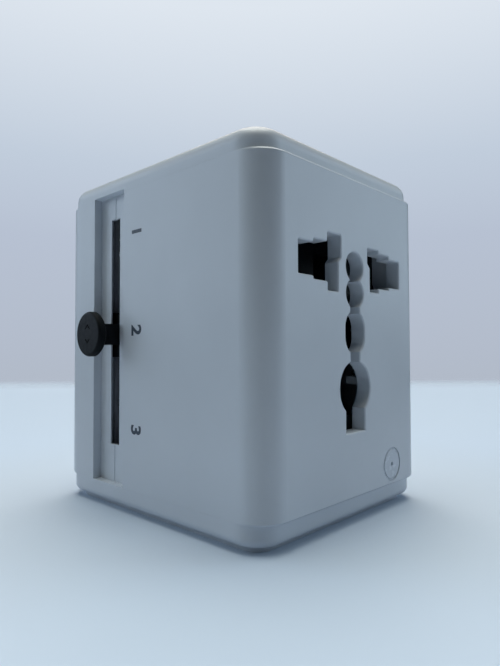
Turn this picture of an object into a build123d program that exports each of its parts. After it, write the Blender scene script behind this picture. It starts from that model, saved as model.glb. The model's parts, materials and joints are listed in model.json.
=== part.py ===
from build123d import *
import os
from math import cos, radians, sin

# Multi socket adapter, standing on its end, in millimetres.
# The origin is the centre of the face it stands on. +Z is up, the universal
# socket looks along -Y, the plug face along +Y and the slider recess along -X.

# Case
case_width = 48.5
case_depth = 58.0
case_height = 65.0
case_corner_radius = 5.0
top_cap_height = 4.1
bottom_cap_height = 4.6
foot_height = 1.0
foot_inset = 2.0
cap_set_back = 1.0
top_edge_radius = 2.7
bottom_edge_radius = 1.4
cap_wall = 1.8
spigot_wall = 1.0
spigot_depth = 2.2
spigot_clearance = 0.15
side_wall = 2.4
socket_face_wall = 2.75
sleeve_edge_height = 0.3
sleeve_edge_step = 0.3
plug_face_wall = 2.4
inner_corner_radius = 2.6
parting_depth = 16.8
seam_width = 0.2
seam_depth = 0.15
tongue_wall = 0.9
tongue_depth = 2.0
tongue_clearance = 0.1

# Slider recess and slit, in the side wall, centred on the parting plane
recess_width = 10.6
recess_depth = 1.65
recess_cap_notch = 0.5
slit_width = 3.0
slit_lip = 0.3
slit_rebate = 1.0
slit_top_spare = 1.4
selector_rise = 0.85
selector_travel = 19.5

# Knob and selector slide
knob_diameter = 8.6
knob_proud = 4.5
knob_back_gap = 2.8
knob_face_radius = 0.5
knob_back_chamfer = 0.4
knob_mark_depth = 0.15
knob_mark_width = 0.5
knob_mark_size = 1.5
knob_mark_spread = 1.9
neck_width = 2.4
neck_height = 4.1
slide_clearance = 0.2
slide_thickness = 1.6
slide_width = 8.2
slide_height = 9.0
slide_nose_size = 3.0
rail_lip = 0.8
rail_wall = 1.2
rail_lip_reach = 1.0
detent_strip_thickness = 0.5
detent_notch_radius = 0.45
detent_leaf_thickness = 0.25
detent_leaf_gap = 0.1
detent_edge_margin = 0.3

# Universal socket face
line_row_drop = 15.8
line_zone_inner = 4.35
line_zone_steps = (8.2, 12.1)
line_zone_outer = 16.05
flat_zone_top = 5.05
flat_zone_bottom = 4.75
short_flat_top = 4.0
short_flat_bottom = 4.0
flat_notch = 0.85
flat_notch_height = 1.2
middle_zone_top = 3.4
middle_zone_bottom = 3.2
outer_zone_top = 2.75
outer_zone_bottom = 2.65
pin_hole_radius = 2.7
second_hole_drop = 4.7
obround_width = 6.0
obround_height = 7.6
obround_drop = 11.6
earth_circle_radius = 4.8
earth_circle_drop = 21.4
earth_slot_half_width = 3.0
earth_slot_drop = 29.1
neck_gap_width = 2.9
face_slot_radius = 0.25
aperture_rim_chamfer = 0.2

# Shutters behind the socket face
shutter_gap = 2.2
shutter_depth = 2.4
shutter_plate = 1.0
shutter_nose_height = 1.4
shutter_wedge_height = 4.2
shutter_overlap = 0.6
shutter_travel = 11.0
shutter_clearance = 0.3
shutter_rail_wall = 0.8
spring_diameter = 2.4
spring_wire = 0.45
spring_turns = 5
spring_wire_sides = 6
spring_closed_gap = 0.25
spring_ledge_height = 1.5
spring_ledge_width = 4.0
spring_end_gap = 0.05

# Contact holder and socket contacts
holder_side_gap = 1.2
holder_top_margin = 2.5
holder_bottom_margin = 3.2
contact_thickness = 0.6
contact_cavity_margin = 0.6
contact_base_setback = 4.0
contact_throat = 3.6
contact_mouth = 6.4
contact_pinch_setback = 4.5
contact_finger_gap = 0.6
contact_side_gap = 0.3
contact_bend_radius = 1.2
contact_passage_drop = 1.8
centre_channel_margin = 0.15
earth_channel_half_width = 5.2
floor_tongue_rise = 2.6
floor_tongue_side_gap = 0.2

# Pin sets
pin_travel_margin = 0.2
uk_top_gap = 0.6
uk_spacing = 22.2
uk_earth_drop = 22.2
uk_pin_width = 6.35
uk_pin_height = 4.0
uk_earth_width = 4.0
uk_earth_height = 8.0
uk_exposure = 17.7
uk_tip_chamfer = 0.9
eu_spacing = 19.0
eu_pin_diameter = 4.0
eu_exposure = 19.0
eu_dome_height = 1.4
us_spacing = 12.7
us_blade_thickness = 1.5
us_blade_height = 6.35
us_exposure = 17.0
us_turn = 30.0
sleeve_length = 9.0
sleeve_wall = 0.4
blade_tip_chamfer = 0.45
pin_tail_flange = 0.8

# Carriages that carry the pin sets
carriage_thickness = 5.0
carriage_rim = 1.2
carriage_gap = 0.3
shelf_thickness = 1.0
floor_gap = 0.3
front_gap = 0.3
rear_gap = 0.5
arm_thickness = 1.6
arm_gap = 0.4
arm_width = 5.0
rotor_radius = 4.2
rotor_journal_radius = 3.6
rotor_journal_length = 1.0
rotor_back_gap = 0.3
rotor_clearance = 0.08
window_clearance = 0.35
wiper_thickness = 0.6
wiper_height = 3.0
wiper_tongue = 4.0
wiper_tongue_thickness = 0.15

# Inner chassis, bus bars and screws
chassis_wall = 1.5
chassis_side_gap = 0.5
boss_radius = 2.2
boss_inset = 2.3
screw_radius = 0.9
screw_head_radius = 1.6
screw_head_height = 0.7
screw_length = 9.0
screw_clearance = 0.15
bus_thickness = 0.6
bus_width = 4.2
bus_top_gap = 0.6
bus_finger_bow = 1.95
bus_front_margin = 2.2
bus_finger_height = 3.0
bus_finger_gap = 0.2

# Fuse
fuse_drop = 10.1
fuse_holder_radius = 4.7
fuse_bore_radius = 3.3
fuse_cap_radius = 4.3
fuse_cap_spigot = 3.0
fuse_cap_slot_width = 1.2
fuse_cap_slot_depth = 1.0
fuse_cap_slot_length = 6.0
fuse_fit = 0.1
fuse_radius = 2.5
fuse_length = 20.0
fuse_end_length = 4.5
fuse_end_radius = 2.6
fuse_back_wall = 1.2

# Indicator
lens_across = 12.5
lens_height = 8.5
lens_radius = 3.1
lens_thickness = 1.0
lens_gap = 0.1
lens_edge_chamfer = 0.45
lens_dot_radius = 0.35
lens_dot_depth = 0.4
lamp_hole_radius = 1.7
lamp_radius = 1.5
lamp_rim_radius = 1.9
lamp_rim_height = 1.0
lamp_length = 4.6
lamp_nose_chamfer = 0.7
lamp_face_gap = 0.3
board_width = 7.0
board_height = 6.0
board_thickness = 0.8

# Places worked out from the sizes above
half_width = case_width / 2
front_y = -case_depth / 2
rear_y = case_depth / 2
sleeve_bottom = bottom_cap_height
sleeve_top = case_height - top_cap_height
sleeve_height = sleeve_top - sleeve_bottom
inner_x = half_width - side_wall
inner_front_y = front_y + socket_face_wall
inner_rear_y = rear_y - plug_face_wall
parting_y = rear_y - parting_depth

line_row_height = sleeve_top - line_row_drop

recess_floor_x = -half_width + recess_depth
knob_z = (sleeve_bottom + sleeve_top) / 2 + selector_rise
slit_half_height = selector_travel + neck_height / 2 + slide_clearance

slide_outer_x = -inner_x + slide_clearance
slide_inner_x = slide_outer_x + slide_thickness
lip_outer_x = slide_inner_x + slide_clearance
lip_inner_x = lip_outer_x + rail_lip
detent_y = parting_y - recess_width / 2
slide_far_y = parting_y + recess_width / 2 - slide_clearance
slide_near_y = slide_far_y - slide_width

uk_half_width = uk_spacing / 2 + uk_pin_width / 2 + carriage_rim
arm_inner_x = uk_half_width + arm_gap
arm_outer_x = arm_inner_x + arm_thickness

pin_travel = eu_exposure + pin_travel_margin
carriage_front_y = inner_rear_y - front_gap - pin_travel
carriage_back_y = carriage_front_y - carriage_thickness
chassis_front_y = carriage_back_y - wiper_thickness - rear_gap
chassis_back_y = chassis_front_y - chassis_wall

us_half_height = rotor_radius + carriage_rim
eu_half_height = eu_pin_diameter / 2 + carriage_rim
us_row_z = sleeve_bottom + spigot_depth + floor_gap + us_half_height
us_shelf_z = us_row_z + us_half_height + carriage_gap
eu_row_z = us_shelf_z + shelf_thickness + carriage_gap + eu_half_height
eu_shelf_z = eu_row_z + eu_half_height + carriage_gap
uk_carriage_top = sleeve_top - spigot_depth - uk_top_gap
uk_row_z = uk_carriage_top - carriage_rim - uk_pin_height / 2
uk_earth_z = uk_row_z - uk_earth_drop
uk_carriage_bottom = uk_earth_z - uk_earth_height / 2 - carriage_rim
fuse_z = uk_row_z - fuse_drop

shutter_front_y = inner_front_y + shutter_gap
shutter_rear_y = shutter_front_y + shutter_depth
shutter_mid_y = (shutter_front_y + shutter_rear_y) / 2
shutter_inner_x = line_zone_inner - shutter_overlap
shutter_outer_x = line_zone_outer + shutter_overlap
shutter_bottom = line_row_height - flat_zone_bottom - shutter_overlap
shutter_top = line_row_height + flat_zone_top + shutter_overlap
spring_x = (shutter_inner_x + shutter_outer_x) / 2
spring_closed_height = spring_turns * (spring_wire + spring_closed_gap)
spring_ledge_top = shutter_bottom - shutter_travel - spring_closed_height
holder_front_y = shutter_rear_y + shutter_clearance
holder_top = shutter_top + holder_top_margin
slot_bottom = line_row_height - earth_slot_drop
holder_bottom = slot_bottom - holder_bottom_margin
holder_step = shutter_bottom - shutter_travel
floor_tongue_top = slot_bottom + floor_tongue_rise
holder_half_width = inner_x - holder_side_gap

boss_x = inner_x - boss_inset
boss_low_z = sleeve_bottom + spigot_depth + carriage_gap + boss_radius
boss_high_z = sleeve_top - spigot_depth - carriage_gap - boss_radius

bus_z = uk_carriage_top + bus_top_gap
bus_inner_x = arm_outer_x + bus_finger_gap + bus_finger_bow
bus_outer_x = bus_inner_x + bus_thickness
bus_near_y = inner_rear_y - bus_front_margin - bus_width


def block(x0, x1, y0, y1, z0, z1):
    """A box between two corners."""
    size = (abs(x1 - x0), abs(y1 - y0), abs(z1 - z0))
    middle = ((x0 + x1) / 2, (y0 + y1) / 2, (z0 + z1) / 2)
    return Pos(*middle) * Box(*size)


def round_bar(radius, y0, y1, x=0.0, z=0.0):
    """A cylinder along Y between two depths."""
    return Pos(x, (y0 + y1) / 2, z) * Rot(90, 0, 0) * Cylinder(radius, abs(y1 - y0))


def along_y(sketch, y0, y1, x=0.0, z=0.0):
    """A sketch drawn as seen from the socket side (its x to +X, its y to +Z), extruded in depth."""
    placed = Plane((x, y1, z), x_dir=(1, 0, 0), z_dir=(0, -1, 0)) * sketch
    return extrude(placed, amount=y1 - y0)


def mirrored(piece):
    """The same piece on the other side of the middle plane."""
    return mirror(piece, about=Plane.YZ)


def grouped(*solids):
    """Separate solids kept together in one node."""
    found = []
    for piece in solids:
        found.extend(piece.solids())
    return Compound(children=found)


def column(width, depth, radius, z0, z1):
    """An upright box with round vertical corners, centred on the origin."""
    outline = RectangleRounded(width, depth, radius)
    return Pos(0, 0, z0) * extrude(outline, amount=z1 - z0)


# Socket apertures

def line_aperture(flat_top, flat_bottom):
    """Outline of a stepped aperture on the left, about the middle line and the live row."""
    first, second = line_zone_steps
    points = [
        (-line_zone_inner, flat_top),
        (-line_zone_inner, flat_notch_height),
        (-line_zone_inner - flat_notch, flat_notch_height - flat_notch),
        (-line_zone_inner - flat_notch, -flat_bottom),
        (-first, -flat_bottom),
        (-first, -middle_zone_bottom),
        (-second, -middle_zone_bottom),
        (-second, -outer_zone_bottom),
        (-line_zone_outer, -outer_zone_bottom),
        (-line_zone_outer, outer_zone_top),
        (-second, outer_zone_top),
        (-second, middle_zone_top),
        (-first, middle_zone_top),
        (-first, flat_top),
    ]
    outline = make_face(Polyline(*points, close=True))
    return fillet(outline.vertices(), face_slot_radius)


def centre_aperture():
    """Outline of the chain of round holes on the middle line, about the live row."""
    shape = Circle(pin_hole_radius)
    shape += Pos(0, -second_hole_drop) * Circle(pin_hole_radius)
    shape += Pos(0, -obround_drop) * SlotOverall(obround_height, obround_width, rotation=90)
    shape += Pos(0, -earth_circle_drop) * Circle(earth_circle_radius)
    neck_length = earth_circle_drop - second_hole_drop
    neck_middle = -second_hole_drop - neck_length / 2
    shape += Pos(0, neck_middle) * Rectangle(neck_gap_width, neck_length)
    slot_length = earth_slot_drop - earth_circle_drop
    slot_middle = -earth_circle_drop - slot_length / 2
    shape += Pos(0, slot_middle) * Rectangle(2 * earth_slot_half_width, slot_length)
    return shape


def with_apertures(shell):
    """The shell with the three apertures of the universal socket and their bevelled rims."""
    long_flat = line_aperture(flat_zone_top, flat_zone_bottom)
    short_flat = line_aperture(short_flat_top, short_flat_bottom)
    shell -= along_y(long_flat, front_y, inner_front_y, z=line_row_height)
    shell -= mirrored(along_y(short_flat, front_y, inner_front_y, z=line_row_height))
    shell -= along_y(centre_aperture(), front_y, inner_front_y, z=line_row_height)
    rims = ShapeList()
    for rim in shell.faces().sort_by(Axis.Y)[0].inner_wires():
        rims += rim.edges()
    return chamfer(rims, aperture_rim_chamfer)


# Plug face openings

def blade_window():
    """Bow-tie outline that a blade needs to turn from upright to its limit."""
    half = us_blade_thickness / 2 + window_clearance
    reach = us_blade_height / 2 + window_clearance
    edges = ShapeList()
    for angle in (0.0, us_turn):
        turn = radians(angle)
        corners = []
        for px, pz in ((-half, 0.0), (half, 0.0), (half, reach), (-half, reach)):
            corners.append((px * cos(turn) + pz * sin(turn), pz * cos(turn) - px * sin(turn)))
        edges += Polyline(*corners, close=True).edges()
    top = make_hull(edges)
    return top + Rot(0, 0, 180) * top


def plug_cuts(y0, y1):
    """The openings that the pins slide through."""
    gap = 2 * window_clearance
    eu_radius = eu_pin_diameter / 2 + window_clearance
    cuts = []
    for side in (-1, 1):
        line = Rectangle(uk_pin_width + gap, uk_pin_height + gap)
        cuts.append(along_y(line, y0, y1, side * uk_spacing / 2, uk_row_z))
        cuts.append(round_bar(eu_radius, y0, y1, side * eu_spacing / 2, eu_row_z))
    earth = Rectangle(uk_earth_width + gap, uk_earth_height + gap)
    cuts.append(along_y(earth, y0, y1, 0, uk_earth_z))
    left = along_y(blade_window(), y0, y1, -us_spacing / 2, us_row_z)
    cuts.append(left)
    cuts.append(mirrored(left))
    cuts.append(round_bar(fuse_cap_radius + fuse_fit, y0, y1, 0, fuse_z))
    return cuts


# Case

def sleeve_edge(z0, z1):
    """End of the sleeve, bevelled on the socket and plug faces and square at the sides."""
    outline = RectangleRounded(case_width, case_depth, case_corner_radius)
    tip = RectangleRounded(case_width, case_depth - 2 * sleeve_edge_step, case_corner_radius)
    return loft([Pos(0, 0, z0) * outline, Pos(0, 0, z1) * tip], ruled=True)


def sleeve():
    """The whole sleeve between the two end caps, before it is split at the parting plane."""
    low_z = sleeve_bottom + sleeve_edge_height
    high_z = sleeve_top - sleeve_edge_height
    body = column(case_width, case_depth, case_corner_radius, low_z, high_z)
    body += sleeve_edge(high_z, sleeve_top) + sleeve_edge(low_z, sleeve_bottom)
    room_depth = inner_rear_y - inner_front_y
    room = RectangleRounded(2 * inner_x, room_depth, inner_corner_radius)
    room_middle = (inner_rear_y + inner_front_y) / 2
    body -= Pos(0, room_middle, sleeve_bottom) * extrude(room, amount=sleeve_height)
    recess_half = recess_width / 2
    body -= block(
        -half_width, recess_floor_x,
        parting_y - recess_half, parting_y + recess_half, sleeve_bottom, sleeve_top,
    )
    slit_bottom = knob_z - slit_half_height
    slit_top = knob_z + slit_half_height + slit_top_spare
    slit_half = slit_width / 2
    rebate_x = recess_floor_x + slit_lip
    for half, x0 in ((slit_half, -half_width), (slit_half + slit_rebate, rebate_x)):
        body -= block(x0, -inner_x, parting_y - half, parting_y + half, slit_bottom, slit_top)
    seam_half = seam_width / 2
    for x0, x1 in ((recess_floor_x, recess_floor_x + seam_depth), (half_width - seam_depth, half_width)):
        body -= block(x0, x1, parting_y - seam_half, parting_y + seam_half, sleeve_bottom, sleeve_top)
    return body


def selector_rail(side):
    """One of the two guide rails behind the slit, with the lip that keeps the slide in."""
    edge = parting_y + side * recess_width / 2
    bottom = knob_z - selector_travel - slide_height / 2 - slide_clearance
    top = knob_z + selector_travel + slide_height / 2 + slide_clearance
    wall = block(-inner_x, lip_inner_x, edge, edge + side * rail_wall, bottom, top)
    lip = block(lip_outer_x, lip_inner_x, edge - side * rail_lip_reach, edge, bottom, top)
    return wall + lip


def shutter_rail():
    """Rib on the inside of the socket face that guides the outer edge of a shutter."""
    x0 = -shutter_outer_x - shutter_clearance
    x1 = x0 - shutter_rail_wall
    return block(x0, x1, inner_front_y, shutter_rear_y, shutter_bottom - shutter_travel, shutter_top)


def spring_ledge():
    """Small shelf on the inside of the socket face that a shutter spring stands on."""
    half = spring_ledge_width / 2
    bottom = spring_ledge_top - spring_ledge_height
    return block(-spring_x - half, -spring_x + half, inner_front_y, shutter_rear_y, bottom, spring_ledge_top)


def front_shell():
    """Socket half of the sleeve."""
    shell = sleeve() & block(-case_width, case_width, -case_depth, parting_y, 0, case_height)
    shell = with_apertures(shell)
    for x in (-boss_x, boss_x):
        for z in (boss_low_z, boss_high_z):
            shell += round_bar(boss_radius, inner_front_y, chassis_back_y, x, z)
            shell -= round_bar(screw_radius, chassis_back_y - screw_length, chassis_back_y, x, z)
    shell += selector_rail(-1)
    left_parts = shutter_rail() + spring_ledge()
    shell += left_parts
    shell += mirrored(left_parts)
    shell -= round_bar(lens_radius + lens_gap, front_y, front_y + lens_thickness, lens_across, lens_height)
    shell -= round_bar(lamp_hole_radius, front_y, inner_front_y, lens_across, lens_height)
    return shell


def rear_shell():
    """Plug half of the sleeve, with its tongue inside the socket half."""
    shell = sleeve() & block(-case_width, case_width, parting_y, case_depth, 0, case_height)
    for cut in plug_cuts(inner_rear_y, rear_y):
        shell -= cut
    shell += selector_rail(1)
    outer = inner_x - tongue_clearance
    shell += block(
        outer - tongue_wall, outer,
        parting_y - tongue_depth, parting_y + tongue_depth,
        sleeve_bottom + spigot_depth + carriage_gap, sleeve_top - spigot_depth - carriage_gap,
    ) + block(
        outer - tongue_wall, inner_x,
        parting_y, parting_y + tongue_depth,
        sleeve_bottom + spigot_depth + carriage_gap, sleeve_top - spigot_depth - carriage_gap,
    )
    return shell


def end_cap(height, edge_radius, foot=0.0):
    """End cap standing on its outer face or foot, with a spigot that fits inside the sleeve."""
    depth = case_depth - 2 * cap_set_back
    cap = column(case_width, depth, case_corner_radius, foot, height)
    cap = fillet(cap.faces().sort_by(Axis.Z)[0].edges(), edge_radius)
    if foot:
        foot_radius = case_corner_radius - foot_inset
        cap += column(case_width - 2 * foot_inset, depth - 2 * foot_inset, foot_radius, 0, foot)
    room_width = 2 * (inner_x - spigot_clearance - spigot_wall)
    room_depth = inner_rear_y - inner_front_y - 2 * (spigot_clearance + spigot_wall)
    room_middle = (inner_rear_y + inner_front_y) / 2
    spigot_end = height + spigot_depth
    spigot_width = room_width + 2 * spigot_wall
    spigot = column(spigot_width, room_depth + 2 * spigot_wall, inner_corner_radius, height, spigot_end)
    cap += Pos(0, room_middle, 0) * spigot
    room = column(room_width, room_depth, inner_corner_radius - spigot_wall, cap_wall, spigot_end)
    return cap - Pos(0, room_middle, 0) * room


def bottom_cap():
    return end_cap(bottom_cap_height, bottom_edge_radius, foot_height)


def top_cap():
    """The upper end cap, with the notch in its lower edge where the recess ends."""
    cap = Pos(0, 0, case_height) * mirror(end_cap(top_cap_height, top_edge_radius), about=Plane.XY)
    half = recess_width / 2
    return cap - block(
        -half_width, recess_floor_x,
        parting_y - half, parting_y + half, sleeve_top, sleeve_top + recess_cap_notch,
    )


# Selector

def knob_mark(side):
    """Small arrow cut into the knob, pointing up or down the slit."""
    size = knob_mark_size / 2
    points = [(-size, 0), (0, side * size), (size, 0)]
    line = Polyline(*points)
    band = trace(line, knob_mark_width / 2)
    middle = (-half_width - knob_proud, parting_y, knob_z + side * knob_mark_spread / 2)
    plane = Plane(middle, x_dir=(0, -1, 0), z_dir=(-1, 0, 0))
    return extrude(plane * band, amount=-knob_mark_depth)


def slide_knob():
    """Round knob outside the slit, on the flat neck that goes through it."""
    length = knob_proud - knob_back_gap
    head = Cylinder(knob_diameter / 2, length)
    ends = head.edges().group_by(Axis.Z)
    head = fillet(ends[-1], knob_face_radius)
    head = chamfer(head.edges().group_by(Axis.Z)[0], knob_back_chamfer)
    middle = -half_width - knob_back_gap - length / 2
    knob = Pos(middle, parting_y, knob_z) * Rot(0, -90, 0) * head
    half = neck_width / 2
    tall = neck_height / 2
    knob += block(
        -half_width - knob_back_gap, slide_outer_x,
        parting_y - half, parting_y + half, knob_z - tall, knob_z + tall,
    )
    knob -= knob_mark(1)
    knob -= knob_mark(-1)
    return knob


def selector_slide():
    """Flat slide in the rails behind the slit, with the nose that reaches towards the pin sets."""
    tall = slide_height / 2
    slide = block(slide_outer_x, slide_inner_x, slide_near_y, slide_far_y, knob_z - tall, knob_z + tall)
    nose = slide_nose_size / 2
    slide += block(
        slide_inner_x, lip_inner_x, parting_y - nose, parting_y + nose, knob_z - nose, knob_z + nose
    )
    return slide


def detent_positions():
    return [knob_z - selector_travel, knob_z, knob_z + selector_travel]


def detent_strip():
    """Notched strip on the front rail; the leaf drops into one notch at each position."""
    x0 = slide_outer_x + detent_edge_margin
    x1 = slide_inner_x - detent_edge_margin
    z0 = knob_z - selector_travel - slide_height / 2
    z1 = knob_z + selector_travel + slide_height / 2
    strip = block(x0, x1, detent_y, detent_y + detent_strip_thickness, z0, z1)
    for z in detent_positions():
        notch = Pos((x0 + x1) / 2, detent_y + detent_strip_thickness, z) * Rot(0, 90, 0) * Cylinder(
            detent_notch_radius, x1 - x0
        )
        strip -= notch
    return strip


def detent_leaf():
    """Bowed spring leaf fixed to the edge of the slide."""
    x0 = slide_outer_x + detent_edge_margin
    x1 = slide_inner_x - detent_edge_margin
    tall = slide_height / 2
    crest = detent_y + detent_strip_thickness + detent_leaf_gap
    sag = slide_near_y - crest
    bow = ThreePointArc((0, -tall), (-sag + detent_leaf_thickness / 2, 0), (0, tall))
    band = trace(bow, detent_leaf_thickness)
    plane = Plane((x0, slide_near_y - detent_leaf_thickness / 2, knob_z), x_dir=(0, 1, 0), z_dir=(1, 0, 0))
    leaf = extrude(plane * band, amount=x1 - x0)
    return leaf & block(x0, x1, crest, slide_near_y, knob_z - tall, knob_z + tall)


# Shutters

def left_shutter():
    """Sliding plate behind a line aperture, with the wedge that an entering pin rides down."""
    plate = block(
        -shutter_outer_x, -shutter_inner_x,
        shutter_rear_y - shutter_plate, shutter_rear_y, shutter_bottom, shutter_top,
    )
    wedge_depth = shutter_depth - shutter_plate
    back = shutter_rear_y - shutter_plate
    points = [
        (back, shutter_bottom),
        (back - wedge_depth, shutter_bottom),
        (back - wedge_depth, shutter_bottom + shutter_nose_height),
        (back, shutter_bottom + shutter_wedge_height),
    ]
    profile = make_face(Polyline(*points, close=True))
    plane = Plane((-shutter_outer_x, 0, 0), x_dir=(0, 1, 0), z_dir=(1, 0, 0))
    wedge = extrude(plane * profile, amount=shutter_outer_x - shutter_inner_x)
    return plate + wedge


def left_spring():
    """Return spring between the ledge and the foot of a shutter."""
    height = shutter_bottom - spring_ledge_top - spring_wire - 2 * spring_end_gap
    radius = (spring_diameter - spring_wire) / 2
    path = Helix(pitch=height / spring_turns, height=height, radius=radius)
    start = Plane(origin=path @ 0, z_dir=path % 0)
    coil = sweep(start * RegularPolygon(spring_wire / 2, spring_wire_sides), path=path)
    return Pos(-spring_x, shutter_mid_y, spring_ledge_top + spring_wire / 2 + spring_end_gap) * coil


# Contacts

def left_cavity_bounds():
    """Inner x, outer x, bottom and top of the room for a socket contact."""
    inner = line_zone_inner - contact_cavity_margin
    outer = line_zone_outer + contact_cavity_margin
    bottom = line_row_height - flat_zone_bottom - contact_cavity_margin
    top = line_row_height + flat_zone_top + contact_cavity_margin
    return inner, outer, bottom, top


def contact_leaf():
    """Side outline of one spring leaf above the live row, from its root to its flared mouth."""
    _, _, _, top = left_cavity_bounds()
    root_y = chassis_back_y - contact_base_setback
    mouth_y = holder_front_y + contact_thickness
    pinch_y = mouth_y + contact_pinch_setback
    root = (root_y, top - contact_thickness)
    knee = (root_y - contact_pinch_setback, top - contact_thickness)
    pinch = (pinch_y, line_row_height + contact_throat / 2)
    mouth = (mouth_y, line_row_height + contact_mouth / 2)
    return FilletPolyline(root, knee, pinch, mouth, radius=contact_bend_radius)


def left_contact():
    """Folded live contact: a base with three pairs of leaves that pinch a pin between them."""
    inner, outer, bottom, top = left_cavity_bounds()
    x0 = -outer + contact_side_gap
    x1 = -inner - contact_side_gap
    root_y = chassis_back_y - contact_base_setback
    band = trace(contact_leaf(), contact_thickness)
    plane = Plane((x0, 0, 0), x_dir=(0, 1, 0), z_dir=(1, 0, 0))
    upper = extrude(plane * band, amount=x1 - x0)
    lower = mirror(upper, about=Plane((0, 0, line_row_height), z_dir=(0, 0, 1)))
    contact = upper + lower
    first, second = line_zone_steps
    for x in (-first, -second):
        slot_half = contact_finger_gap / 2
        front = holder_front_y
        contact -= block(x - slot_half, x + slot_half, front, root_y - contact_pinch_setback, bottom, top)
    base_low = 2 * line_row_height - top + contact_thickness / 2
    base_high = top - contact_thickness / 2
    contact += block(x0, x1, root_y - contact_thickness, root_y, base_low, base_high)
    tail_z = base_high - contact_thickness
    contact += block(x0, x0 + bus_width, root_y, chassis_back_y - bus_thickness, tail_z, base_high)
    return contact


def contact_holder():
    """Moulded block behind the shutters, with a room for each contact and the earth channel."""
    half = holder_half_width
    holder = block(-half, half, holder_front_y, chassis_back_y, holder_step, holder_top)
    stem_half = earth_channel_half_width + chassis_wall
    holder += block(-stem_half, stem_half, holder_front_y, chassis_back_y, holder_bottom, holder_step)
    inner, outer, bottom, top = left_cavity_bounds()
    room_back = chassis_back_y - contact_base_setback + contact_side_gap
    room = block(-outer, -inner, holder_front_y, room_back, bottom, top)
    x0 = -outer + contact_side_gap
    passage = block(
        x0 - contact_side_gap, x0 + bus_width + contact_side_gap,
        room_back, chassis_back_y, top - contact_passage_drop, holder_top,
    )
    for side_cut in (room, passage):
        holder -= side_cut
        holder -= mirrored(side_cut)
    channel_top = line_row_height + pin_hole_radius + contact_cavity_margin
    channel_half = obround_width / 2 + centre_channel_margin
    low = slot_bottom - contact_cavity_margin
    back_wall_y = chassis_back_y - chassis_wall
    holder -= block(-channel_half, channel_half, holder_front_y, back_wall_y, low, channel_top)
    earth_top = line_row_height - earth_circle_drop + earth_channel_half_width
    holder -= block(
        -earth_channel_half_width, earth_channel_half_width,
        holder_front_y, back_wall_y, low, earth_top,
    )
    tongue_half = earth_slot_half_width + floor_tongue_side_gap
    holder += block(
        -tongue_half, tongue_half,
        inner_front_y + floor_tongue_side_gap, holder_front_y + chassis_wall,
        holder_bottom, floor_tongue_top,
    )
    return holder


def bus_bar():
    """Live bus bar: riser behind the holder, run over the pin sets and drop with one finger a set."""
    _, outer, _, top = left_cavity_bounds()
    riser_x = -outer + contact_side_gap
    riser_low = top - contact_passage_drop + contact_side_gap
    riser_front_y = chassis_back_y - bus_thickness
    bar = block(riser_x, riser_x + bus_width, riser_front_y, chassis_back_y, riser_low, bus_z)
    bar += block(
        -bus_outer_x, riser_x + bus_width,
        riser_front_y, chassis_back_y + bus_width, bus_z, bus_z + bus_thickness,
    )
    bar += block(
        -bus_outer_x, -bus_outer_x + bus_width / 2,
        chassis_back_y, bus_near_y + bus_width, bus_z, bus_z + bus_thickness,
    )
    bar += block(
        -bus_outer_x, -bus_outer_x + bus_thickness,
        bus_near_y, bus_near_y + bus_width, us_row_z - bus_finger_height, bus_z + bus_thickness,
    )
    bow = ThreePointArc((0, 0), (bus_width / 2, bus_finger_bow - bus_thickness / 2), (bus_width, 0))
    band = trace(bow, bus_thickness)
    for z in (us_row_z, eu_row_z, uk_row_z):
        corner = (-bus_inner_x, bus_near_y, z - bus_finger_height / 2)
        plane = Plane(corner, x_dir=(0, 1, 0), z_dir=(0, 0, -1))
        finger = extrude(plane * band, amount=-bus_finger_height)
        keep = block(
            -bus_outer_x + bus_thickness / 2, -arm_outer_x - bus_finger_gap,
            bus_near_y, bus_near_y + bus_width, z - bus_finger_height, z + bus_finger_height,
        )
        bar += finger & keep
    return bar


# Chassis

def inner_chassis():
    """Divider between socket and pins, with the shelves that guide the three pin sets."""
    half = inner_x - chassis_side_gap
    bottom = boss_low_z - boss_radius
    top = boss_high_z + boss_radius
    chassis = block(-half, half, chassis_back_y, chassis_front_y, bottom, top)
    shelf_end = inner_rear_y - front_gap
    shelf_half = arm_inner_x - arm_gap
    for z in (us_shelf_z, eu_shelf_z):
        chassis += block(-shelf_half, shelf_half, chassis_front_y, shelf_end, z, z + shelf_thickness)
    for x in (-boss_x, boss_x):
        for z in (boss_low_z, boss_high_z):
            chassis -= round_bar(screw_radius + screw_clearance, chassis_back_y, chassis_front_y, x, z)
            chassis -= screw_head(x, z, screw_clearance)
    _, outer, _, _ = left_cavity_bounds()
    notch = block(
        -outer, -outer + 2 * contact_side_gap + bus_width,
        chassis_back_y, chassis_front_y, bus_z - carriage_gap, case_height,
    )
    chassis -= notch
    chassis -= mirrored(notch)
    return chassis


def screw_head(x, z, clearance=0.0):
    """Countersunk head of a screw, or with a clearance the seat for it."""
    cone = Cone(screw_radius + clearance, screw_head_radius + clearance, screw_head_height)
    return Pos(x, chassis_front_y - screw_head_height / 2, z) * Rot(-90, 0, 0) * cone


def chassis_screws():
    """Four countersunk screws that hold the chassis to the bosses of the front shell."""
    screws = []
    for x in (-boss_x, boss_x):
        for z in (boss_low_z, boss_high_z):
            screw = round_bar(screw_radius, chassis_back_y - screw_length, chassis_front_y, x, z)
            screws.append(screw + screw_head(x, z))
    return grouped(*screws)


# Pin sets

def pin_bar(z, half_height):
    """Full-width bar of a carriage at one pin row."""
    return block(
        -arm_outer_x, arm_outer_x, carriage_back_y, carriage_front_y, z - half_height, z + half_height
    )


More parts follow.
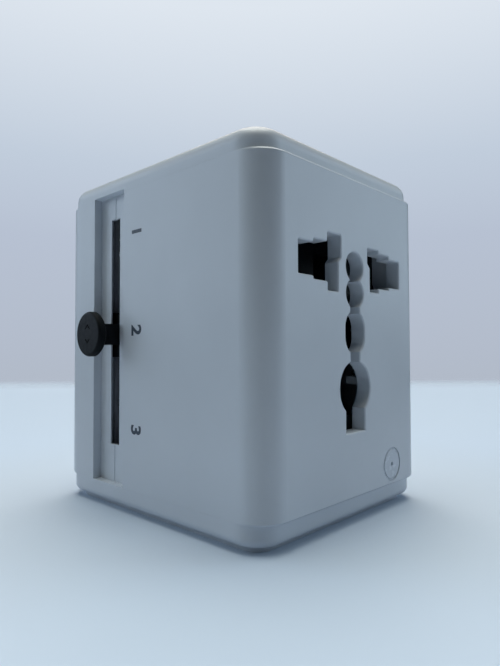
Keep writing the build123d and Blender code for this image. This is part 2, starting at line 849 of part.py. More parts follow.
def uk_carriage():
    """Ring-shaped carriage: a bar for the line pins, a block for the earth pin and two side legs."""
    body = pin_bar(uk_row_z, uk_pin_height / 2 + carriage_rim)
    leg = block(
        -uk_half_width, -uk_half_width + arm_width,
        carriage_back_y, carriage_front_y, uk_carriage_bottom, uk_row_z,
    )
    body += leg
    body += mirrored(leg)
    body += block(
        -uk_half_width, uk_half_width, carriage_back_y, carriage_front_y,
        uk_carriage_bottom, uk_earth_z + uk_earth_height / 2 + carriage_rim,
    )
    for pin in (uk_line_pin(-1), uk_line_pin(1), uk_earth_pin()):
        body -= pin
    return body


def uk_pin(x, z, width, height):
    """Rectangular pin with a chamfered tip, a flange in the carriage and a short tail."""
    tip_y = carriage_front_y + (front_gap + plug_face_wall + uk_exposure)
    root_y = carriage_back_y + pin_tail_flange
    pin = block(x - width / 2, x + width / 2, root_y, tip_y, z - height / 2, z + height / 2)
    pin = chamfer(pin.faces().sort_by(Axis.Y)[-1].edges(), uk_tip_chamfer)
    grow = pin_tail_flange
    pin += block(
        x - width / 2 - grow, x + width / 2 + grow, carriage_back_y, root_y,
        z - height / 2 - grow, z + height / 2 + grow,
    )
    return pin


def uk_line_pin(side):
    return uk_pin(side * uk_spacing / 2, uk_row_z, uk_pin_width, uk_pin_height)


def uk_earth_pin():
    return uk_pin(0, uk_earth_z, uk_earth_width, uk_earth_height)


def uk_sleeved_pin(side):
    """Line pin turned down over the length that its insulating sleeve covers."""
    return uk_line_pin(side) - uk_sleeve(side)


def uk_sleeve(side):
    """Insulating sleeve let into a line pin, flush with its faces."""
    x = side * uk_spacing / 2
    y1 = carriage_front_y + front_gap + plug_face_wall + sleeve_length
    outer = Rectangle(uk_pin_width, uk_pin_height)
    inner = Rectangle(uk_pin_width - 2 * sleeve_wall, uk_pin_height - 2 * sleeve_wall)
    return along_y(outer - inner, carriage_front_y, y1, x, uk_row_z)


def eu_carriage():
    """Bar for the two round pins, with the tab that stands up to the middle selector position."""
    body = pin_bar(eu_row_z, eu_half_height)
    body += block(
        -arm_outer_x, -arm_inner_x, carriage_back_y, carriage_front_y, eu_row_z, knob_z + arm_width / 2
    )
    for side in (-1, 1):
        body -= eu_pin(side)
    return body


def eu_pin(side):
    """Round pin with a domed tip and a flange in the carriage."""
    x = side * eu_spacing / 2
    tip_y = carriage_front_y + front_gap + plug_face_wall + eu_exposure
    radius = eu_pin_diameter / 2
    root_y = carriage_back_y + pin_tail_flange
    flange = radius + pin_tail_flange
    shoulder_y = tip_y - eu_dome_height
    dome_radius = (radius ** 2 + eu_dome_height ** 2) / (2 * eu_dome_height)
    outline = Polyline((0, tip_y), (0, carriage_back_y), (flange, carriage_back_y), (flange, root_y),
        (radius, root_y), (radius, shoulder_y))
    outline += RadiusArc((radius, shoulder_y), (0, tip_y), -dome_radius)
    return Pos(x, 0, eu_row_z) * revolve(make_face(outline), axis=Axis.Y)


def eu_sleeve(side):
    """Insulating sleeve let into a round pin, flush with it."""
    x = side * eu_spacing / 2
    y1 = carriage_front_y + front_gap + plug_face_wall + sleeve_length
    ring = Circle(eu_pin_diameter / 2) - Circle(eu_pin_diameter / 2 - sleeve_wall)
    return along_y(ring, carriage_front_y, y1, x, eu_row_z)


def rotor_bore(x):
    """Stepped bore for a blade rotor."""
    fit = rotor_clearance
    step_y = carriage_front_y - rotor_journal_length
    wide = round_bar(rotor_radius + fit, carriage_back_y, step_y, x, us_row_z)
    narrow = round_bar(rotor_journal_radius + fit, step_y, carriage_front_y, x, us_row_z)
    return wide + narrow


def us_carriage():
    """Bar with the two stepped bores for the blade rotors."""
    body = pin_bar(us_row_z, us_half_height)
    for side in (-1, 1):
        body -= rotor_bore(side * us_spacing / 2)
    return body


def blade(x):
    """Flat blade with a chamfered tip, fixed in its rotor."""
    tip_y = carriage_front_y + front_gap + plug_face_wall + us_exposure
    half = us_blade_thickness / 2
    tall = us_blade_height / 2
    root_y = carriage_back_y + rotor_back_gap
    plate = block(x - half, x + half, root_y, tip_y, us_row_z - tall, us_row_z + tall)
    return chamfer(plate.faces().sort_by(Axis.Y)[-1].edges(), blade_tip_chamfer)


def rotor(x):
    """Stepped round piece that lets a blade turn in the carriage."""
    step_y = carriage_front_y - rotor_journal_length - rotor_clearance
    body = round_bar(rotor_radius, carriage_back_y + rotor_back_gap, step_y, x, us_row_z)
    body += round_bar(rotor_journal_radius, step_y, carriage_front_y, x, us_row_z)
    return body - blade(x)


def wiper(side, pin_x, z):
    """Brass strip behind a carriage, from a pin to the end of the bar and forward along it."""
    y0 = carriage_back_y - wiper_thickness
    half = wiper_height / 2
    strip = block(side * pin_x, side * arm_outer_x, y0, carriage_back_y, z - half, z + half)
    end_x = side * (arm_outer_x + wiper_tongue_thickness)
    strip += block(
        side * arm_outer_x, end_x, y0, carriage_back_y + wiper_tongue, z - half, z + half
    )
    return strip


def wipers(pin_x, z):
    return grouped(wiper(-1, pin_x, z), wiper(1, pin_x, z))


# Fuse

def fuse_holder():
    """Tube between the plug face and the chassis that holds the fuse."""
    tube = round_bar(fuse_holder_radius, chassis_front_y, inner_rear_y, 0, fuse_z)
    tube -= round_bar(fuse_bore_radius, chassis_front_y + fuse_back_wall, inner_rear_y, 0, fuse_z)
    return tube


def fuse_cap():
    """Round cap with a coin slot, flush with the plug face."""
    cap = round_bar(fuse_cap_radius, inner_rear_y + fuse_fit, rear_y, 0, fuse_z)
    spigot_end = inner_rear_y + fuse_fit - fuse_cap_spigot
    cap += round_bar(fuse_bore_radius - fuse_fit, spigot_end, inner_rear_y + fuse_fit, 0, fuse_z)
    half = fuse_cap_slot_width / 2
    reach = fuse_cap_slot_length / 2
    cap -= block(-reach, reach, rear_y - fuse_cap_slot_depth, rear_y, fuse_z - half, fuse_z + half)
    return cap


def fuse_start():
    """Depth at which the fuse begins, just behind the cap's spigot."""
    return inner_rear_y - fuse_cap_spigot - fuse_length


def fuse_link():
    """Glass tube of the fuse between its end caps."""
    near = fuse_start() + fuse_end_length
    far = fuse_start() + fuse_length - fuse_end_length
    return round_bar(fuse_radius, near, far, 0, fuse_z)


def fuse_ends():
    """Metal end caps of the fuse."""
    start = fuse_start()
    near = round_bar(fuse_end_radius, start, start + fuse_end_length, 0, fuse_z)
    far = round_bar(fuse_end_radius, start + fuse_length - fuse_end_length, start + fuse_length, 0, fuse_z)
    return grouped(near, far)


# Indicator

def indicator_lens():
    """Flush disc with a small central dimple."""
    lens = round_bar(lens_radius, front_y, front_y + lens_thickness, lens_across, lens_height)
    lens = chamfer(lens.edges().group_by(Axis.Y)[0], lens_edge_chamfer)
    lens -= round_bar(lens_dot_radius, front_y, front_y + lens_dot_depth, lens_across, lens_height)
    return lens


def indicator_lamp():
    """Small lamp with a rim and a tapered nose, behind the lens."""
    nose_y = front_y + lens_thickness + lamp_face_gap
    end_y = nose_y + lamp_length
    lamp = round_bar(lamp_radius, nose_y, end_y, lens_across, lens_height)
    lamp = chamfer(lamp.edges().group_by(Axis.Y)[0], lamp_nose_chamfer)
    lamp += round_bar(lamp_rim_radius, end_y - lamp_rim_height, end_y, lens_across, lens_height)
    return lamp


def lamp_board():
    """Small circuit board that carries the lamp."""
    y0 = front_y + lens_thickness + lamp_face_gap + lamp_length
    half = board_width / 2
    tall = board_height / 2
    return block(
        lens_across - half, lens_across + half,
        y0, y0 + board_thickness, lens_height - tall, lens_height + tall,
    )


def nodes():
    """Every node of the part by name."""
    left = -us_spacing / 2
    return {
        "front_shell": front_shell(),
        "rear_shell": rear_shell(),
        "top_cap": top_cap(),
        "bottom_cap": bottom_cap(),
        "inner_chassis": inner_chassis(),
        "chassis_screws": chassis_screws(),
        "contact_holder": contact_holder(),
        "live_socket_contact": left_contact(),
        "neutral_socket_contact": mirrored(left_contact()),
        "live_bus_bar": bus_bar(),
        "neutral_bus_bar": mirrored(bus_bar()),
        "fuse_holder": fuse_holder(),
        "fuse_cap": fuse_cap(),
        "fuse_link": fuse_link(),
        "fuse_ends": fuse_ends(),
        "indicator_lens": indicator_lens(),
        "indicator_lamp": indicator_lamp(),
        "lamp_board": lamp_board(),
        "detent_strip": detent_strip(),
        "slide_knob": slide_knob(),
        "selector_slide": selector_slide(),
        "detent_leaf": detent_leaf(),
        "live_shutter": left_shutter(),
        "neutral_shutter": mirrored(left_shutter()),
        "live_shutter_spring": left_spring(),
        "neutral_shutter_spring": mirrored(left_spring()),
        "uk_carriage": uk_carriage(),
        "uk_live_pin": uk_sleeved_pin(-1),
        "uk_neutral_pin": uk_sleeved_pin(1),
        "uk_earth_pin": uk_earth_pin(),
        "uk_pin_sleeves": grouped(uk_sleeve(-1), uk_sleeve(1)),
        "uk_wipers": wipers(uk_spacing / 2, uk_row_z),
        "eu_carriage": eu_carriage(),
        "eu_pins": grouped(eu_pin(-1) - eu_sleeve(-1), eu_pin(1) - eu_sleeve(1)),
        "eu_pin_sleeves": grouped(eu_sleeve(-1), eu_sleeve(1)),
        "eu_wipers": wipers(eu_spacing / 2, eu_row_z),
        "us_carriage": us_carriage(),
        "us_left_rotor": rotor(left),
        "us_left_blade": blade(left),
        "us_right_rotor": rotor(-left),
        "us_right_blade": blade(-left),
        "us_wipers": wipers(us_spacing / 2, us_row_z),
    }


os.makedirs("parts", exist_ok=True)
for name, piece in nodes().items():
    export_step(piece, f"parts/{name}.step")
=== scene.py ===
import json
import math

import bpy
from mathutils import Matrix, Vector


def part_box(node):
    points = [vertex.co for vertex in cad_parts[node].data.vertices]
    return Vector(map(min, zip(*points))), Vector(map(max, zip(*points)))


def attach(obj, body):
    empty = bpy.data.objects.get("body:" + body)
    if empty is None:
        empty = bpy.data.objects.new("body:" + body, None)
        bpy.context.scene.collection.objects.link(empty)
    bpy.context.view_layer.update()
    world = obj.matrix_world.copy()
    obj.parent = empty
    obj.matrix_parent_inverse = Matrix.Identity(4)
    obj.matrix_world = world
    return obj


# Looks of the multi socket adapter: finishes, printed numbers, floor, light and camera.

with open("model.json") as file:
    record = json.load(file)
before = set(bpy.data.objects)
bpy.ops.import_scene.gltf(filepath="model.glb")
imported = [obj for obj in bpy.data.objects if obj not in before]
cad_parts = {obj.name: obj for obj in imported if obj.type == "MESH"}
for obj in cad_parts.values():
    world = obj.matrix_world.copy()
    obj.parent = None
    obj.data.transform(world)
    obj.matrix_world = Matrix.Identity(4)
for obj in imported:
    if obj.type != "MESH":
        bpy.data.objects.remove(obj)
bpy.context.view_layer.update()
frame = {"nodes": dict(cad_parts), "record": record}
nodes = frame["nodes"]
shell_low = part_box("front_shell")[0]
scene = bpy.context.scene

# The image is 500 by 666 pixels, and its long side is the sensor's width.
IMAGE_HEIGHT = 666
SENSOR_MM = 36.0
FOCAL_PIXELS = 528.8

# Camera, in millimetres from the near lower corner of the case, and in degrees.
CAMERA_FROM_CORNER = (-56.4, -50.7, 30.5)
CAMERA_YAW = 46.56
CAMERA_PITCH = 1.82
CAMERA_ROLL = 0.17
CAMERA_CLIP = (0.002, 50.0)


def srgb(red, green, blue):
    """Linear colour of an 8-bit screen colour."""
    linear = []
    for value in (red, green, blue):
        share = value / 255
        linear.append(share / 12.92 if share <= 0.04045 else ((share + 0.055) / 1.055) ** 2.4)
    return (*linear, 1.0)


# Materials. Noise is in waves a metre, relief and edge radius in metres.

NOISE_SPAN = (0.3, 0.7)
REFRACTION = 1.5
DRIFT_WAVES = 60.0
GLOSS_GRAIN_SHARE = 0.4
PLASTIC_RELIEF = 0.02e-3
EDGE_RADIUS = 0.1e-3
EDGE_SAMPLES = 6
COAT_ROUGHNESS = 0.25
METAL_WAVES = 900.0
METAL_RELIEF = 0.01e-3
METAL_RELIEF_STRENGTH = 0.3
GLASS_TINT_WAVES = 200.0
GLASS_GLOSS_WAVES = 700.0
GLASS_ROUGHNESS = (0.03, 0.08)
GLASS_TRANSMISSION = 0.9


def new_material(name):
    """An empty node material with its shader and object coordinates."""
    material = bpy.data.materials.new(name)
    material.use_nodes = True
    tree = material.node_tree
    tree.nodes.clear()
    output = tree.nodes.new("ShaderNodeOutputMaterial")
    shader = tree.nodes.new("ShaderNodeBsdfPrincipled")
    tree.links.new(shader.outputs["BSDF"], output.inputs["Surface"])
    place = tree.nodes.new("ShaderNodeTexCoord")
    return material, tree, shader, place.outputs["Object"]


def noise(tree, vector, scale, detail=2.0, roughness=0.5):
    """Noise of a given scale in waves a metre."""
    node = tree.nodes.new("ShaderNodeTexNoise")
    node.inputs["Scale"].default_value = scale
    node.inputs["Detail"].default_value = detail
    node.inputs["Roughness"].default_value = roughness
    tree.links.new(vector, node.inputs["Vector"])
    return node.outputs["Fac"]


def spread(tree, value, low, high):
    """Maps the middle span of a noise to a range."""
    node = tree.nodes.new("ShaderNodeMapRange")
    node.inputs["From Min"].default_value = NOISE_SPAN[0]
    node.inputs["From Max"].default_value = NOISE_SPAN[1]
    node.inputs["To Min"].default_value = low
    node.inputs["To Max"].default_value = high
    tree.links.new(value, node.inputs["Value"])
    return node.outputs["Result"]


def mix_colours(tree, value, first, second):
    """A colour between two, by a value."""
    node = tree.nodes.new("ShaderNodeMix")
    node.data_type = "RGBA"
    node.inputs["A"].default_value = first
    node.inputs["B"].default_value = second
    tree.links.new(value, node.inputs["Factor"])
    return node.outputs["Result"]


def add_bump(tree, shader, height, distance, strength, edge=0.0):
    """Fine surface relief, over edges that are softened by a radius if one is given."""
    node = tree.nodes.new("ShaderNodeBump")
    node.inputs["Distance"].default_value = distance
    node.inputs["Strength"].default_value = strength
    if edge:
        rounding = tree.nodes.new("ShaderNodeBevel")
        rounding.samples = EDGE_SAMPLES
        rounding.inputs["Radius"].default_value = edge
        tree.links.new(rounding.outputs["Normal"], node.inputs["Normal"])
    tree.links.new(height, node.inputs["Height"])
    tree.links.new(node.outputs["Normal"], shader.inputs["Normal"])


def moulded_plastic(name, light, dark, rough, grain, relief, coat=0.0, shine=0.5):
    """Moulded plastic: slow colour drift, fine grain in the gloss and the surface."""
    material, tree, shader, place = new_material(name)
    drift = spread(tree, noise(tree, place, DRIFT_WAVES, detail=3.0), 0.0, 1.0)
    tree.links.new(mix_colours(tree, drift, dark, light), shader.inputs["Base Color"])
    gloss = noise(tree, place, grain * GLOSS_GRAIN_SHARE, detail=4.0)
    tree.links.new(spread(tree, gloss, *rough), shader.inputs["Roughness"])
    surface = noise(tree, place, grain, detail=3.0, roughness=0.6)
    add_bump(tree, shader, surface, PLASTIC_RELIEF, relief, EDGE_RADIUS)
    shader.inputs["IOR"].default_value = REFRACTION
    shader.inputs["Specular IOR Level"].default_value = shine
    shader.inputs["Coat Weight"].default_value = coat
    shader.inputs["Coat Roughness"].default_value = COAT_ROUGHNESS
    return material


def plated_metal(name, light, dark, rough, stretch):
    """Drawn or plated metal with faint marks along one direction."""
    material, tree, shader, place = new_material(name)
    mapping = tree.nodes.new("ShaderNodeMapping")
    mapping.inputs["Scale"].default_value = stretch
    tree.links.new(place, mapping.inputs["Vector"])
    marks = noise(tree, mapping.outputs["Vector"], METAL_WAVES, detail=4.0, roughness=0.6)
    tone = spread(tree, marks, 0.0, 1.0)
    tree.links.new(mix_colours(tree, tone, dark, light), shader.inputs["Base Color"])
    tree.links.new(spread(tree, marks, *rough), shader.inputs["Roughness"])
    add_bump(tree, shader, marks, METAL_RELIEF, METAL_RELIEF_STRENGTH)
    shader.inputs["Metallic"].default_value = 1.0
    return material


def clear_glass(name):
    """Thin fuse glass with a faint tint that drifts."""
    material, tree, shader, place = new_material(name)
    tone = spread(tree, noise(tree, place, GLASS_TINT_WAVES), 0.0, 1.0)
    tint = mix_colours(tree, tone, srgb(225, 235, 238), srgb(240, 246, 248))
    tree.links.new(tint, shader.inputs["Base Color"])
    gloss = noise(tree, place, GLASS_GLOSS_WAVES)
    tree.links.new(spread(tree, gloss, *GLASS_ROUGHNESS), shader.inputs["Roughness"])
    shader.inputs["Transmission Weight"].default_value = GLASS_TRANSMISSION
    shader.inputs["IOR"].default_value = REFRACTION
    return material


# How the marks of a metal are drawn out along one axis
ALONG_Y = (1.0, 0.08, 1.0)
ALONG_Z = (1.0, 1.0, 0.08)

FINISHES = {
    "white_shell": moulded_plastic(
        "shell_white",
        light=srgb(216, 222, 228),
        dark=srgb(211, 217, 223),
        rough=(0.42, 0.50),
        grain=2600.0,
        relief=0.10,
        coat=0.20,
    ),
    "lens_plastic": moulded_plastic(
        "lens_white",
        light=srgb(212, 219, 227),
        dark=srgb(204, 212, 220),
        rough=(0.22, 0.30),
        grain=2600.0,
        relief=0.06,
        coat=0.2,
    ),
    "black_plastic": moulded_plastic(
        "black_satin",
        light=srgb(17, 21, 25),
        dark=srgb(12, 15, 18),
        rough=(0.44, 0.56),
        grain=3200.0,
        relief=0.35,
        shine=0.12,
    ),
    "dark_plastic": moulded_plastic(
        "dark_matt",
        light=srgb(17, 20, 24),
        dark=srgb(12, 14, 17),
        rough=(0.55, 0.66),
        grain=2800.0,
        relief=0.35,
        shine=0.1,
    ),
    "grey_plastic": moulded_plastic(
        "grey_matt",
        light=srgb(52, 56, 62),
        dark=srgb(44, 48, 54),
        rough=(0.55, 0.66),
        grain=2800.0,
        relief=0.25,
        shine=0.2,
    ),
    "lamp_plastic": moulded_plastic(
        "lamp_red",
        light=srgb(186, 58, 48),
        dark=srgb(168, 46, 40),
        rough=(0.12, 0.20),
        grain=1500.0,
        relief=0.05,
        coat=0.4,
    ),
    "board_laminate": moulded_plastic(
        "board_green",
        light=srgb(52, 112, 72),
        dark=srgb(40, 94, 60),
        rough=(0.35, 0.48),
        grain=5200.0,
        relief=0.3,
    ),
    "contact_brass": plated_metal(
        "contact_brass",
        light=srgb(222, 190, 120),
        dark=srgb(200, 166, 98),
        rough=(0.20, 0.34),
        stretch=ALONG_Y,
    ),
    "pin_nickel": plated_metal(
        "pin_nickel",
        light=srgb(214, 213, 208),
        dark=srgb(190, 189, 184),
        rough=(0.18, 0.30),
        stretch=ALONG_Y,
    ),
    "spring_steel": plated_metal(
        "spring_steel",
        light=srgb(182, 184, 188),
        dark=srgb(154, 156, 160),
        rough=(0.24, 0.38),
        stretch=ALONG_Z,
    ),
    "fuse_glass": clear_glass("fuse_glass"),
}


def dress_nodes():
    """Gives each CAD node the finish of its material slot."""
    for entry in frame["record"]["subparts"]:
        piece = nodes[entry["node"]]
        piece.data.materials.clear()
        piece.data.materials.append(FINISHES[entry["material_slot"]])


# Seal in the groove round the indicator lens

LENS_CHAMFER = 0.45e-3
LENS_GAP = 0.1e-3
LENS_SEAL_DEPTH = 0.15e-3
LENS_SEAL_HEIGHT = 0.35e-3
LENS_SEAL_FIT = 0.03e-3
LENS_SEAL_SIDES = 96


def lens_seal():
    """Thin ring that fills the groove round the lens to just below the face."""
    low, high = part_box("indicator_lens")
    middle = (low + high) / 2
    radius = (high.x - low.x) / 2
    top = low.y + LENS_SEAL_DEPTH
    foot = top + LENS_SEAL_HEIGHT
    profile = (
        (radius - LENS_CHAMFER + LENS_SEAL_DEPTH + LENS_SEAL_FIT, top),
        (radius + LENS_GAP - LENS_SEAL_FIT, top),
        (radius + LENS_GAP - LENS_SEAL_FIT, foot),
        (radius + LENS_SEAL_FIT, foot),
    )
    points = []
    faces = []
    rows = len(profile)
    for index in range(LENS_SEAL_SIDES):
        angle = 2 * math.pi * index / LENS_SEAL_SIDES
        for reach, depth in profile:
            across = middle.x + reach * math.cos(angle)
            height = middle.z + reach * math.sin(angle)
            points.append((across, depth, height))
        here = index * rows
        after = (index + 1) % LENS_SEAL_SIDES * rows
        for row in range(rows):
            below = (row + 1) % rows
            faces.append((here + row, here + below, after + below, after + row))
    mesh = bpy.data.meshes.new("lens_seal")
    mesh.from_pydata(points, [], faces)
    mesh.materials.append(FINISHES["lens_plastic"])
    seal = bpy.data.objects.new("lens_seal", mesh)
    scene.collection.objects.link(seal)
    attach(seal, "housing")


# Printed numbers beside the slider recess

NUMBER_HEIGHT = 2.9e-3
NUMBER_LIFT = 0.02e-3
NUMBER_FROM_SOCKET_FACE = 31.8e-3
NUMBER_COUNT = 3
NUMBER_TOP = 52.6e-3
NUMBER_SPACING = 18.4e-3
# Added boldness and the height of a figure, as shares of the font's size
NUMBER_WEIGHT = 0.03
FIGURE_SHARE = 0.7
FIGURE_ROUNDNESS = 6
INK_COVER_WAVES = 5200.0
INK_GLOSS_WAVES = 3000.0
INK_ROUGHNESS = (0.42, 0.55)


def ink_material():
    """Dark slate print with slightly uneven cover."""
    material, tree, shader, place = new_material("print_slate")
    cover = spread(tree, noise(tree, place, INK_COVER_WAVES, detail=3.0, roughness=0.65), 0.0, 1.0)
    tone = mix_colours(tree, cover, srgb(42, 54, 68), srgb(58, 70, 84))
    tree.links.new(tone, shader.inputs["Base Color"])
    gloss = noise(tree, place, INK_GLOSS_WAVES)
    tree.links.new(spread(tree, gloss, *INK_ROUGHNESS), shader.inputs["Roughness"])
    return material


def printed_number(text, height, ink):
    """One number lying on the side wall, its head towards the socket face."""
    curve = bpy.data.curves.new(f"number_{text}_outline", "FONT")
    curve.body = text
    curve.align_x = "CENTER"
    curve.align_y = "CENTER"
    curve.size = NUMBER_HEIGHT / FIGURE_SHARE
    curve.offset = NUMBER_WEIGHT * curve.size
    curve.extrude = NUMBER_LIFT / 2
    curve.resolution_u = FIGURE_ROUNDNESS
    outline = bpy.data.objects.new(f"number_{text}_outline", curve)
    scene.collection.objects.link(outline)
    bpy.context.view_layer.update()
    mesh = bpy.data.meshes.new_from_object(outline)
    bpy.data.objects.remove(outline)
    number = bpy.data.objects.new(f"printed_number_{text}", mesh)
    scene.collection.objects.link(number)
    across = Vector((0, 0, -1))
    up = Vector((0, -1, 0))
    out = across.cross(up)
    turn = Matrix((across, up, out)).transposed().to_4x4()
    depth = shell_low.y + NUMBER_FROM_SOCKET_FACE
    middle = Vector((shell_low.x - NUMBER_LIFT / 2, depth, height))
    mesh.transform(Matrix.Translation(middle) @ turn)
    mesh.materials.clear()
    mesh.materials.append(ink)
    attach(number, "housing")


# Floor, backdrop, light and camera

FLOOR_SIZE = 6.0
FLOOR_ROUGHNESS = 0.5
FLOOR_SHINE = 0.3
# The floor fades out behind the object, along this turn from the Y axis, and all round.
FLOOR_END_TURN = 46.56
FLOOR_END = (0.2966, 0.4466)
FLOOR_EDGE = (0.8, 1.4)
# The seen floor near the object holds painted shade: a little darker round its foot, fading to the
# plain floor colour between these reaches in metres.
FLOOR_SEEN_PAINTED_SHADE = srgb(209, 222, 236)
FLOOR_FAR_SEEN = srgb(211, 226, 243)
FLOOR_PAINTED_SHADE_REACH = (0.045, 0.10)
FLOOR_NEAR_LIGHTING = srgb(182, 194, 211)
FLOOR_FAR_LIGHTING = srgb(70, 76, 84)
FLOOR_LIGHTING_REACH = (0.08, 0.30)
BACKDROP_LEVELS = (
    (-0.10, srgb(176, 185, 198)),
    (0.00, srgb(179, 188, 203)),
    (0.20, srgb(183, 193, 210)),
    (0.33, srgb(193, 205, 220)),
    (0.55, srgb(222, 230, 239)),
)
AMBIENT_COLOUR = (0.8, 0.95, 1.15, 1.0)
AMBIENT_LEVEL = 0.01
LAMP_SIZE = 1.25
LAMP_TARGET = Vector((0, 0, 0.03))
LAMPS = (
    ("overhead", (0.03, 0.02, 2.03), 21.8, (0.97, 1.0, 0.95)),
    ("back_top", (0.50, 0.47, 1.91), 12.0, (0.98, 1.0, 1.0)),
    ("back_high", (0.93, 0.88, 1.56), 6.0, (1.0, 0.82, 0.66)),
    ("left_high", (-1.58, 0.72, 1.03), 3.1, (0.9, 1.0, 0.95)),
    ("left_low", (-0.90, 1.65, 0.71), 11.8, (0.66, 0.81, 1.0)),
    ("right_high", (0.94, -1.42, 1.09), 0.9, (0.95, 1.0, 1.0)),
    ("right_low", (1.60, -0.98, 0.71), 11.2, (0.67, 0.84, 1.0)),
)


def smooth_share(tree, value, start, stop):
    """A share that grows smoothly from nought at the start to one at the stop."""
    node = tree.nodes.new("ShaderNodeMapRange")
    node.interpolation_type = "SMOOTHSTEP"
    node.inputs["From Min"].default_value = start
    node.inputs["From Max"].default_value = stop
    tree.links.new(value, node.inputs["Value"])
    return node.outputs["Result"]


def mix_by_path(tree, ray_kinds, other, seen):
    """One shader for the named kinds of ray, another for the rest."""
    path = tree.nodes.new("ShaderNodeLightPath")
    share = path.outputs[ray_kinds[0]]
    for kind in ray_kinds[1:]:
        either = tree.nodes.new("ShaderNodeMath")
        either.operation = "MAXIMUM"
        tree.links.new(share, either.inputs[0])
        tree.links.new(path.outputs[kind], either.inputs[1])
        share = either.outputs["Value"]
    mix = tree.nodes.new("ShaderNodeMixShader")
    tree.links.new(share, mix.inputs["Fac"])
    tree.links.new(other, mix.inputs[1])
    tree.links.new(seen, mix.inputs[2])
    return mix.outputs["Shader"]


def make_floor():
    """Pale floor that keeps the shadow, has painted shade round the object's foot, and ends softly
    in front of the backdrop.
    """
    half = FLOOR_SIZE / 2
    corners = [(-half, -half, 0), (half, -half, 0), (half, half, 0), (-half, half, 0)]
    mesh = bpy.data.meshes.new("floor")
    mesh.from_pydata(corners, [], [(0, 1, 2, 3)])
    floor = bpy.data.objects.new("floor", mesh)
    scene.collection.objects.link(floor)
    material, tree, shader, place = new_material("floor_pale_painted_shade")
    shader.inputs["Roughness"].default_value = FLOOR_ROUGHNESS
    shader.inputs["Specular IOR Level"].default_value = FLOOR_SHINE
    reach = tree.nodes.new("ShaderNodeVectorMath")
    reach.operation = "LENGTH"
    tree.links.new(place, reach.inputs[0])
    # Painted shade: the seen floor darkens towards the object.
    away = smooth_share(tree, reach.outputs["Value"], *FLOOR_PAINTED_SHADE_REACH)
    tone = mix_colours(tree, away, FLOOR_SEEN_PAINTED_SHADE, FLOOR_FAR_SEEN)
    tree.links.new(tone, shader.inputs["Base Color"])
    away = smooth_share(tree, reach.outputs["Value"], *FLOOR_LIGHTING_REACH)
    bounce = mix_colours(tree, away, FLOOR_NEAR_LIGHTING, FLOOR_FAR_LIGHTING)
    lighting = tree.nodes.new("ShaderNodeBsdfDiffuse")
    tree.links.new(bounce, lighting.inputs["Color"])
    kinds = ("Is Camera Ray",)
    surface = mix_by_path(tree, kinds, lighting.outputs["BSDF"], shader.outputs["BSDF"])
    along = tree.nodes.new("ShaderNodeVectorMath")
    along.operation = "DOT_PRODUCT"
    turn = math.radians(FLOOR_END_TURN)
    along.inputs[1].default_value = (math.sin(turn), math.cos(turn), 0.0)
    tree.links.new(place, along.inputs[0])
    end = tree.nodes.new("ShaderNodeMath")
    end.operation = "MAXIMUM"
    tree.links.new(smooth_share(tree, along.outputs["Value"], *FLOOR_END), end.inputs[0])
    tree.links.new(smooth_share(tree, reach.outputs["Value"], *FLOOR_EDGE), end.inputs[1])
    clear = tree.nodes.new("ShaderNodeBsdfTransparent")
    fade = tree.nodes.new("ShaderNodeMixShader")
    tree.links.new(end.outputs["Value"], fade.inputs["Fac"])
    tree.links.new(surface, fade.inputs[1])
    tree.links.new(clear.outputs["BSDF"], fade.inputs[2])
    output = next(node for node in tree.nodes if node.type == "OUTPUT_MATERIAL")
    tree.links.new(fade.outputs["Shader"], output.inputs["Surface"])
    mesh.materials.append(material)


def make_lamp(name, place, power, colour):
    """Soft square lamp aimed at the object."""
    data = bpy.data.lights.new(name, "AREA")
    data.shape = "SQUARE"
    data.size = LAMP_SIZE
    data.energy = power
    data.color = colour
    lamp = bpy.data.objects.new(name, data)
    scene.collection.objects.link(lamp)
    lamp.location = place
    lamp.rotation_mode = "QUATERNION"
    lamp.rotation_quaternion = (LAMP_TARGET - Vector(place)).to_track_quat("-Z", "Y")


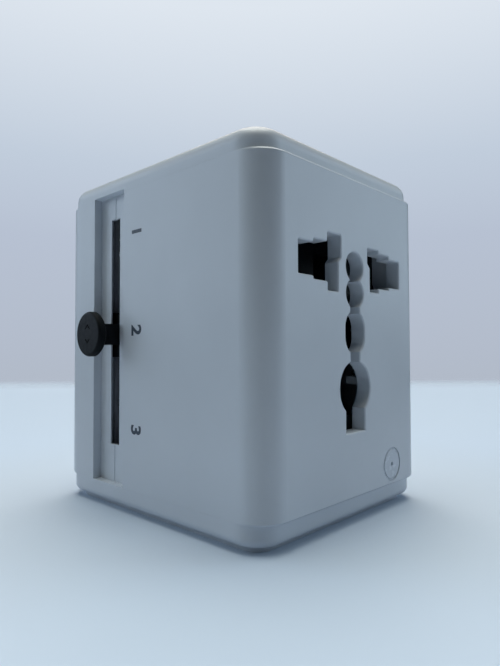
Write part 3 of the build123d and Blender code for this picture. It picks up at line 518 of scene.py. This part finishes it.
def make_world():
    """A backdrop that pales with height where it is seen, and a low even light on the object."""
    world = bpy.data.worlds.new("studio")
    scene.world = world
    world.use_nodes = True
    tree = world.node_tree
    tree.nodes.clear()
    output = tree.nodes.new("ShaderNodeOutputWorld")
    direction = tree.nodes.new("ShaderNodeTexCoord")
    parts = tree.nodes.new("ShaderNodeSeparateXYZ")
    tree.links.new(direction.outputs["Generated"], parts.inputs["Vector"])
    low = BACKDROP_LEVELS[0][0]
    high = BACKDROP_LEVELS[-1][0]
    height = tree.nodes.new("ShaderNodeMapRange")
    height.inputs["From Min"].default_value = low
    height.inputs["From Max"].default_value = high
    tree.links.new(parts.outputs["Z"], height.inputs["Value"])
    ramp = tree.nodes.new("ShaderNodeValToRGB")
    steps = ramp.color_ramp.elements
    while len(steps) < len(BACKDROP_LEVELS):
        steps.new(0.5)
    for step, (level, colour) in zip(steps, BACKDROP_LEVELS):
        step.position = (level - low) / (high - low)
        step.color = colour
    tree.links.new(height.outputs["Result"], ramp.inputs["Fac"])
    seen = tree.nodes.new("ShaderNodeBackground")
    seen.inputs["Strength"].default_value = 1.0
    tree.links.new(ramp.outputs["Color"], seen.inputs["Color"])
    lit = tree.nodes.new("ShaderNodeBackground")
    lit.inputs["Color"].default_value = AMBIENT_COLOUR
    lit.inputs["Strength"].default_value = AMBIENT_LEVEL
    kinds = ("Is Camera Ray", "Is Transmission Ray")
    surface = mix_by_path(tree, kinds, lit.outputs["Background"], seen.outputs["Background"])
    tree.links.new(surface, output.inputs["Surface"])


def make_camera():
    """The photographer's view, from low and close in front of the near corner."""
    data = bpy.data.cameras.new("camera")
    data.sensor_width = SENSOR_MM
    data.lens = FOCAL_PIXELS / IMAGE_HEIGHT * SENSOR_MM
    data.clip_start, data.clip_end = CAMERA_CLIP
    camera = bpy.data.objects.new("camera", data)
    scene.collection.objects.link(camera)
    corner = Vector((shell_low.x, shell_low.y, 0.0))
    camera.location = corner + Vector(CAMERA_FROM_CORNER) / 1000
    yaw = math.radians(CAMERA_YAW)
    pitch = math.radians(CAMERA_PITCH)
    reach = math.cos(pitch)
    forward = Vector((math.sin(yaw) * reach, math.cos(yaw) * reach, math.sin(pitch)))
    camera.rotation_mode = "QUATERNION"
    level = forward.to_track_quat("-Z", "Y")
    roll = Matrix.Rotation(math.radians(CAMERA_ROLL), 3, forward).to_quaternion()
    camera.rotation_quaternion = roll @ level
    scene.camera = camera


dress_nodes()
lens_seal()
ink = ink_material()
for index in range(NUMBER_COUNT):
    printed_number(str(index + 1), NUMBER_TOP - index * NUMBER_SPACING, ink)

make_camera()
make_floor()
make_world()
for name, place, power, colour in LAMPS:
    make_lamp(name, place, power, colour)

scene.view_settings.view_transform = "Standard"
